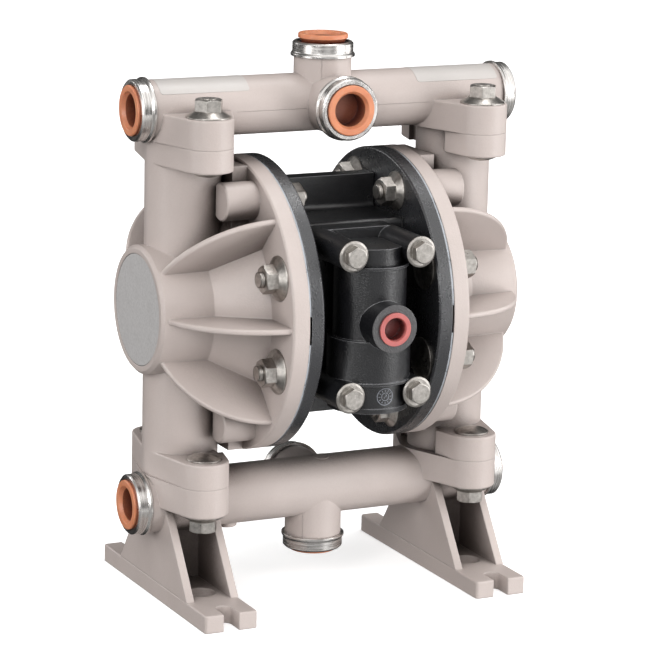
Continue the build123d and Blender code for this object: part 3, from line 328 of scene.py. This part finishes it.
orange = soft_plug("orange_plug", rgb(0.68, 0.275, 0.145), rgb(0.30, 0.055, 0.020),
                   rgb(0.055, 0.010, 0.007))
red = soft_plug("red_plug", rgb(0.52, 0.15, 0.14), rgb(0.20, 0.022, 0.018),
                rgb(0.05, 0.006, 0.006))
label_film = moulded("blank_label", rgb(0.545, 0.515, 0.495), rgb(0.515, 0.485, 0.465),
                     rgb(0.34, 0.31, 0.29), 0.36, 0.0002, 1600.0, rgb(0.60, 0.58, 0.57),
                     0.2).material
worn_black = moulded("worn_black", rgb(0.24, 0.25, 0.28), rgb(0.16, 0.17, 0.19),
                     rgb(0.03, 0.03, 0.034), 0.42, 0.0002, 900.0, rgb(0.24, 0.25, 0.28), 0.5,
                     reach=0.004, shade_share=0.8).material

slot_finishes = {
    "cap_plastic": greige, "black_plastic": black, "disc_metal": bare_disc, "ring_steel": tin,
    "zinc": zinc, "rod_steel": steel, "plate_metal": alloy, "spool_metal": alloy,
    "diaphragm_rubber": pale_sheet, "seal_rubber": nitrile, "bush_plastic": acetal,
    "ball_plastic": white_ball, "orange_plastic": orange, "red_plastic": red,
}
# The cap bolts take the zinc copy with painted shade, and the air caps take the black copy with
# painted sheen.
node_finishes = {"left_cap_bolts": shaded_zinc, "right_cap_bolts": shaded_zinc,
                 "left_air_cap": painted_sheen_black, "right_air_cap": painted_sheen_black}
for part in frame["record"]["subparts"]:
    mesh = frame["nodes"][part["node"]].data
    mesh.materials.clear()
    mesh.materials.append(node_finishes.get(part["node"], slot_finishes[part["material_slot"]]))


# Fine detail, modelled on the solids that carry it. Lengths are in millimetres.

outlet_z, outlet_r = 255.0, 15.0
inlet_z, inlet_r = 50.7, 15.6
neck_r = 14.8
lower_cap_y, lower_cap_r = -60.0, 19.4
pump_z = 152.85


def add_object(name, mesh, material):
    """Turns a mesh in metres into an object with smooth faces and sharp corners."""
    data = bpy.data.meshes.new(name)
    mesh.to_mesh(data)
    mesh.free()
    data.materials.append(material)
    data.shade_smooth()
    data.set_sharp_from_angle(angle=math.radians(40))
    piece = bpy.data.objects.new(name, data)
    bpy.context.scene.collection.objects.link(piece)
    return piece


def add_piece(name, mesh, material):
    """Turns a mesh in millimetres into a piece that rides on the pump."""
    mesh.normal_update()
    bmesh.ops.recalc_face_normals(mesh, faces=mesh.faces)
    bmesh.ops.scale(mesh, vec=(mm, mm, mm), verts=mesh.verts)
    piece = add_object(name, mesh, material)
    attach(piece, "pump")


def sweep(mesh, rows, closed=False):
    """Skins rows of points, each row a closed section, and caps the ends of an open run."""
    rings = [[mesh.verts.new(point) for point in row] for row in rows]
    pairs = list(zip(rings, rings[1:]))
    if closed:
        pairs.append((rings[-1], rings[0]))
    for first, second in pairs:
        for i in range(len(first)):
            j = (i + 1) % len(first)
            mesh.faces.new((first[i], first[j], second[j], second[i]))
    if not closed:
        mesh.faces.new(rings[0])
        mesh.faces.new(rings[-1])


def ridge(mesh, path, width, height, closed=False):
    """Low ridge along a path of (point, outward normal) pairs, with its foot in the solid."""
    sink, crest_share = 0.12, 0.45
    rows = []
    for i, (point, normal) in enumerate(path):
        before = path[i - 1][0] if i or closed else point
        after = path[(i + 1) % len(path)][0] if i < len(path) - 1 or closed else point
        across = (after - before).normalized().cross(normal) * (width / 2)
        rows.append([point - across - normal * sink,
                     point - across * crest_share + normal * height,
                     point + across * crest_share + normal * height,
                     point + across - normal * sink])
    sweep(mesh, rows, closed)


def circle(radius, count):
    """Points of a circle about zero, in two coordinates."""
    return [(radius * math.cos(math.tau * i / count), radius * math.sin(math.tau * i / count))
            for i in range(count)]


def along_tube(axis_z, radius, angle, start, end, steps=12):
    """Path along a tube. Angle 0 faces the front and 90 the top."""
    normal = Vector((0, -math.cos(math.radians(angle)), math.sin(math.radians(angle))))
    return [(Vector((start + (end - start) * i / steps, 0, axis_z)) + normal * radius, normal)
            for i in range(steps + 1)]


def up_neck(angle, low, high, steps=6):
    """Path up a round neck on the middle axis. Angle 0 faces the front and 90 the right."""
    normal = Vector((math.sin(math.radians(angle)), -math.cos(math.radians(angle)), 0))
    return [(Vector((0, 0, low + (high - low) * i / steps)) + normal * neck_r, normal)
            for i in range(steps + 1)]


def parting_lines():
    """Faint lines that the mould's halves leave on the tubes and necks."""
    tube_end, neck_edge = 54, 15.6
    front, rear = -4, 176
    tube_width, outlet_neck_width, inlet_neck_width = 0.45, 0.5, 0.6
    outlet_height, inlet_height = 0.09, 0.05
    outlet_lines = (
        (along_tube(outlet_z, outlet_r, front, -tube_end, -neck_edge), tube_width),
        (along_tube(outlet_z, outlet_r, front, neck_edge, tube_end), tube_width),
        (along_tube(outlet_z, outlet_r, rear, -tube_end, tube_end), tube_width),
    )
    inlet_lines = (
        (along_tube(inlet_z, inlet_r, rear, -tube_end, -neck_edge), tube_width),
        (along_tube(inlet_z, inlet_r, rear, neck_edge, tube_end), tube_width),
    )
    outlet_neck_lines = tuple((up_neck(angle, 267.0, 278.5), outlet_neck_width)
                              for angle in (-27, 153))
    inlet_neck_lines = tuple((up_neck(angle, 25.2, 40.0), inlet_neck_width)
                             for angle in (-47, 133))
    mesh = bmesh.new()
    for lines, height in ((outlet_lines, outlet_height), (inlet_lines, inlet_height),
                          (outlet_neck_lines, outlet_height), (inlet_neck_lines, inlet_height)):
        for path, width in lines:
            ridge(mesh, path, width, height)
    add_piece("parting_lines", mesh, greige)


def tube_patch(mesh, axis_z, radius, span, angles):
    """Thin sheet with rounded corners, wrapped round a tube."""
    corner, lift, sink = 1.6, 0.14, 0.1
    length = span[1] - span[0]
    corner_steps = [corner * (1 - math.cos(math.radians(15 * i))) for i in range(7)]
    straight = [corner + (length - 2 * corner) * i / 16 for i in range(1, 16)]
    stations = corner_steps + straight + [length - step for step in reversed(corner_steps)]
    rows = []
    for station in stations:
        inset = max(corner - station, corner - (length - station), 0.0)
        trim = (corner - math.sqrt(max(corner ** 2 - inset ** 2, 0.0))) / radius
        low, high = angles[0] + math.degrees(trim), angles[1] - math.degrees(trim)
        turns = [math.radians(low + (high - low) * i / 20) for i in range(21)]
        outer, inner = [[(span[0] + station, -r * math.cos(a), axis_z + r * math.sin(a))
                         for a in turns] for r in (radius + lift, radius - sink)]
        rows.append(outer + inner[::-1])
    sweep(mesh, rows)


def blank_labels():
    """Two blank strips on top of the outlet tube."""
    angles = (37, 128)
    mesh = bmesh.new()
    for span in ((-94.5, -46.0), (49.0, 96.0)):
        tube_patch(mesh, outlet_z, outlet_r, span, angles)
    add_piece("blank_labels", mesh, label_film)


def tube_pad():
    """Round pad under the inlet tube, on the left."""
    pad_x = -50.0
    profile = ((5.3, 3.0), (5.3, -0.9), (4.9, -1.3))
    mesh = bmesh.new()
    sweep(mesh, [[(pad_x + x, y, inlet_z - inlet_r + height) for x, y in circle(radius, 40)]
                 for radius, height in profile])
    add_piece("tube_pad", mesh, greige)


def gate_mark():
    """Lens-shaped mark on the inlet tube, in front of the rear port's neck."""
    middle_x, half_length = 3.2, 4.6
    middle_angle, half_angle = 88, 17
    mesh = bmesh.new()
    path = []
    for i in range(24):
        turn = math.radians(15 * i)
        angle = math.radians(middle_angle + half_angle * math.sin(turn))
        normal = Vector((0, -math.cos(angle), math.sin(angle)))
        point = Vector((middle_x + half_length * math.cos(turn), 0, inlet_z)) + normal * inlet_r
        path.append((point, normal))
    ridge(mesh, path, 0.7, 0.22, closed=True)
    add_piece("gate_mark", mesh, greige)


def on_lower_cap(points):
    """Path on the front of the lower valve cap, from points (across, up) about the dial."""
    dial_across, dial_z = 0.3, 116.9
    middle = Vector((0, lower_cap_y, 0))
    path = []
    for across, up in points:
        angle = (dial_across + across) / lower_cap_r
        point = Vector((lower_cap_r * math.sin(angle), lower_cap_y - lower_cap_r * math.cos(angle),
                        dial_z + up))
        outward = point - middle
        path.append((point, Vector((outward.x, outward.y, 0)).normalized()))
    return path


def date_dial():
    """Moulded-in dial with plain ticks and an arrow."""
    ring_height, mark_height = 0.28, 0.26
    tick_radii, ticks = (2.7, 3.2, 3.7), 12
    shaft = [(-0.7, -0.9), (0.0, 0.0), (0.7, 0.9)]
    head = [(0.0, 1.0), (0.7, 0.9), (0.8, 0.2)]
    mesh = bmesh.new()
    ridge(mesh, on_lower_cap(circle(4.3, 40)), 0.55, ring_height, closed=True)
    ridge(mesh, on_lower_cap(circle(2.0, 28)), 0.45, ring_height, closed=True)
    for i in range(ticks):
        angle = math.tau * i / ticks
        tick = [(r * math.cos(angle), r * math.sin(angle)) for r in tick_radii]
        ridge(mesh, on_lower_cap(tick), 0.5, mark_height)
    for stroke in (shaft, head):
        ridge(mesh, on_lower_cap(stroke), 0.4, mark_height)
    add_piece("date_dial", mesh, worn_black)


def stud_ends():
    """Axis place (y, z), direction and end position in x of every cap stud's free end."""
    bolt_circle_r, studs = 62.2, 8
    outer_end_x, inner_end_x = 60.8, 20.5
    found = []
    for step in range(studs):
        angle = math.radians(22.5 + 45 * step)
        place = (-bolt_circle_r * math.cos(angle), pump_z + bolt_circle_r * math.sin(angle))
        in_blind_boss = abs(math.sin(angle)) > 0.7
        for side in (-1, 1):
            if in_blind_boss:
                found.append((place, -side, side * inner_end_x))
            else:
                found.append((place, side, side * outer_end_x))
    return found


def stud_threads():
    """Thread ridges and a chamfered end on each cap stud that stands out of its nut."""
    root_r, crest_r, length = 3.95, 4.15, 2.2
    profile = [(-0.2, 3.4), (0.0, root_r), (0.3, crest_r), (0.6, root_r), (0.8, root_r),
               (1.1, crest_r), (1.4, root_r), (1.7, root_r), (2.25, 3.45), (2.28, 1.5)]
    mesh = bmesh.new()
    for place, way, end_x in stud_ends():
        sweep(mesh, [[(end_x - way * (length - along), place[0] + y, place[1] + z)
                      for y, z in circle(radius, 24)] for along, radius in profile])
    add_piece("stud_threads", mesh, zinc)


def cut(mesh, place, normal, clear=False):
    """Cuts a whole mesh along a plane, and clears the side that the normal points to."""
    bmesh.ops.bisect_plane(mesh, geom=mesh.verts[:] + mesh.edges[:] + mesh.faces[:],
                           plane_co=place, plane_no=normal, clear_outer=clear)


def dished_diaphragms():
    """The two diaphragms, cut into sectors.

    Lengths are in metres. The bend runs from start_r to end_r, and has cuts across it.
    """
    start_r, end_r, count, bands = 0.0265, 0.0475, 8, 8
    weld, weld_after_cuts = 0.000001, 0.000002
    middle = Vector((0, 0, pump_z * mm))
    for side in ("left", "right"):
        node = side + "_diaphragm"
        source = frame["nodes"][node].data
        for i in range(count):
            angle = math.tau * i / count
            outward = Vector((0, math.cos(angle), math.sin(angle)))
            mesh = bmesh.new()
            mesh.from_mesh(source)
            bmesh.ops.remove_doubles(mesh, verts=mesh.verts, dist=weld)
            for way in (-1, 1):
                turn = angle + way * math.pi / count
                cut(mesh, middle, Vector((0, -math.sin(turn), math.cos(turn))) * way, clear=True)
            for step in range(1, bands):
                cut(mesh, middle + outward * (start_r + (end_r - start_r) * step / bands), outward)
            bmesh.ops.remove_doubles(mesh, verts=mesh.verts, dist=weld_after_cuts)
            bmesh.ops.holes_fill(mesh, edges=[edge for edge in mesh.edges if edge.is_boundary])
            bmesh.ops.triangulate(mesh, faces=mesh.faces)
            piece = add_object(f"{node}_sector_{i + 1}", mesh, pale_sheet)
            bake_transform(piece)
            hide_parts(node)


dished_diaphragms()
parting_lines()
blank_labels()
tube_pad()
gate_mark()
date_dial()
stud_threads()


# Camera, at the photograph's viewing angle

def aim_camera():
    azimuth, elevation, roll = (math.radians(a) for a in (26.03, 12.78, 1.26))
    target, distance = Vector((4.14, 0, 137.04)), 1642.08
    focal_pixels, picture_pixels, sensor = 3144.66, 648.0, 36.0
    back = Vector((-math.sin(azimuth) * math.cos(elevation),
                   -math.cos(azimuth) * math.cos(elevation), math.sin(elevation)))
    right = Vector((math.cos(azimuth), -math.sin(azimuth), 0))
    up = back.cross(right)
    across = right * math.cos(roll) + up * math.sin(roll)
    upright = up * math.cos(roll) - right * math.sin(roll)
    place = target * mm + back * distance * mm
    camera = bpy.data.objects.new("camera", bpy.data.cameras.new("camera"))
    bpy.context.scene.collection.objects.link(camera)
    turn = Matrix((across, upright, back)).transposed().to_4x4()
    camera.matrix_world = Matrix.Translation(place) @ turn
    camera.data.sensor_width = sensor
    camera.data.lens = focal_pixels * sensor / picture_pixels
    camera.data.clip_start = 0.05
    camera.data.clip_end = 50.0
    bpy.context.scene.camera = camera


aim_camera()


# Floor, backdrop and light. Lengths are in metres.

def floor_paint():
    """Even pale floor that glows a little."""
    paint = Paint("pale_floor")
    cloud = paint.ramp(paint.noise(1.5), 0.0, 1.0, 0.3, 0.7)
    colour = paint.mix(cloud, rgb(0.90, 0.90, 0.90), rgb(0.88, 0.88, 0.88))
    roughness = paint.ramp(paint.noise(40.0), 0.75, 0.85)
    paint.set(Emission_Color=(1, 1, 1, 1), Emission_Strength=0.55)
    return paint.finish(colour, roughness, paint.bump(paint.noise(90.0), 0.0005, 0.05))


def floor_and_backdrop():
    """Pale round sweep: flat floor that curves up far from the object on every side."""
    inner_r, flat_r, bend_r, top_z, steps = 0.6, 2.6, 0.9, 5.0, 72
    below_feet = 0.0002
    bend = [(flat_r + bend_r * math.sin(a), bend_r - bend_r * math.cos(a))
            for a in (math.radians(9 * i) for i in range(11))]
    profile = [(inner_r, 0.0)] + bend + [(flat_r + bend_r, top_z)]
    mesh = bmesh.new()
    rings = [[mesh.verts.new((x, y, z - below_feet)) for x, y in circle(radius, steps)]
             for radius, z in profile]
    mesh.faces.new(rings[0])
    for low, high in zip(rings, rings[1:]):
        for i in range(steps):
            j = (i + 1) % steps
            mesh.faces.new((low[i], high[i], high[j], low[j]))
    bmesh.ops.recalc_face_normals(mesh, faces=mesh.faces)
    bmesh.ops.reverse_faces(mesh, faces=[face for face in mesh.faces if face.normal.z < -0.5])
    data = bpy.data.meshes.new("sweep")
    mesh.to_mesh(data)
    mesh.free()
    data.shade_smooth()
    sweep = bpy.data.objects.new("sweep", data)
    bpy.context.scene.collection.objects.link(sweep)
    sweep.data.materials.append(floor_paint())
    sweep.visible_diffuse = False
    sweep.visible_glossy = False
    sweep.visible_shadow = False


def area_light(name, place, aim, size, power):
    data = bpy.data.lights.new(name, "AREA")
    data.shape = "RECTANGLE"
    data.size, data.size_y = size
    data.energy = power
    lamp = bpy.data.objects.new(name, data)
    bpy.context.scene.collection.objects.link(lamp)
    turn = (Vector(aim) - Vector(place)).to_track_quat("-Z", "Y").to_matrix().to_4x4()
    lamp.matrix_world = Matrix.Translation(place) @ turn
    return lamp


def studio_world():
    """Soft surround: a bright ceiling, a dimmer floor, a dark horizon and a dim rear half."""
    height_stops = ((0.35, 0.46), (0.55, 0.01), (0.78, 1.34))
    rear_stops = ((0.35, 1.0), (0.65, 0.10))
    world = bpy.data.worlds.new("studio")
    world.use_nodes = True
    tree = world.node_tree
    background = tree.nodes["Background"]
    place = tree.nodes.new("ShaderNodeTexCoord").outputs["Generated"]
    split = tree.nodes.new("ShaderNodeSeparateXYZ")
    tree.links.new(place, split.inputs["Vector"])
    level = tree.nodes.new("ShaderNodeMath")
    level.operation = "MULTIPLY"
    for slot, (axis, stops) in enumerate((("Z", height_stops), ("Y", rear_stops))):
        scale = tree.nodes.new("ShaderNodeMapRange")
        scale.inputs["From Min"].default_value = -1.0
        tree.links.new(split.outputs[axis], scale.inputs["Value"])
        band = tree.nodes.new("ShaderNodeFloatCurve")
        curve = band.mapping.curves[0]
        curve.points[0].location = (0.0, stops[0][1])
        curve.points[1].location = (1.0, stops[-1][1])
        for position, value in stops:
            curve.points.new(position, value)
        for point in curve.points:
            point.handle_type = "VECTOR"
        band.mapping.clip_max_y = 2.0
        band.mapping.update()
        tree.links.new(scale.outputs["Result"], band.inputs["Value"])
        tree.links.new(band.outputs["Value"], level.inputs[slot])
    tree.links.new(level.outputs[0], background.inputs["Strength"])
    background.inputs["Color"].default_value = (1.0, 0.995, 0.985, 1)
    bpy.context.scene.world = world


floor_and_backdrop()
studio_world()
pump_middle = (0, 0, 0.15)
lamps = (
    ("key", (-1.5, -1.5, 0.9), (0.9, 1.1), 18.0),
    ("fill", (1.4, -1.3, 0.4), (0.9, 1.2), 15.0),
    ("top", (0.35, 0.1, 1.5), (0.5, 0.35), 4.0),
    ("left", (-2.0, -0.3, 0.3), (0.9, 1.1), 8.5),
    ("card", (0.9, -1.75, -0.35), (0.7, 0.5), 1.2),
    ("right", (2.0, -0.2, 0.5), (0.9, 1.1), 9.0),
    ("front", (-0.2, -2.0, 0.2), (0.9, 0.7), 1.2),
    ("low_right", (1.2, -1.5, -0.5), (0.9, 0.7), 14.0),
    ("rear_left", (-1.5, 1.7, 0.8), (0.9, 1.1), 14.0),
    ("rear_right", (1.9, 1.2, 0.8), (0.9, 1.1), 12.0),
)
# These two lamps light the pump without a glare on its glossy faces.
matt_lamps = ("low_right", "rear_right")
for name, place, size, power in lamps:
    lamp = area_light(name, place, pump_middle, size, power)
    lamp.visible_glossy = name not in matt_lamps
bpy.context.scene.view_settings.view_transform = "Standard"
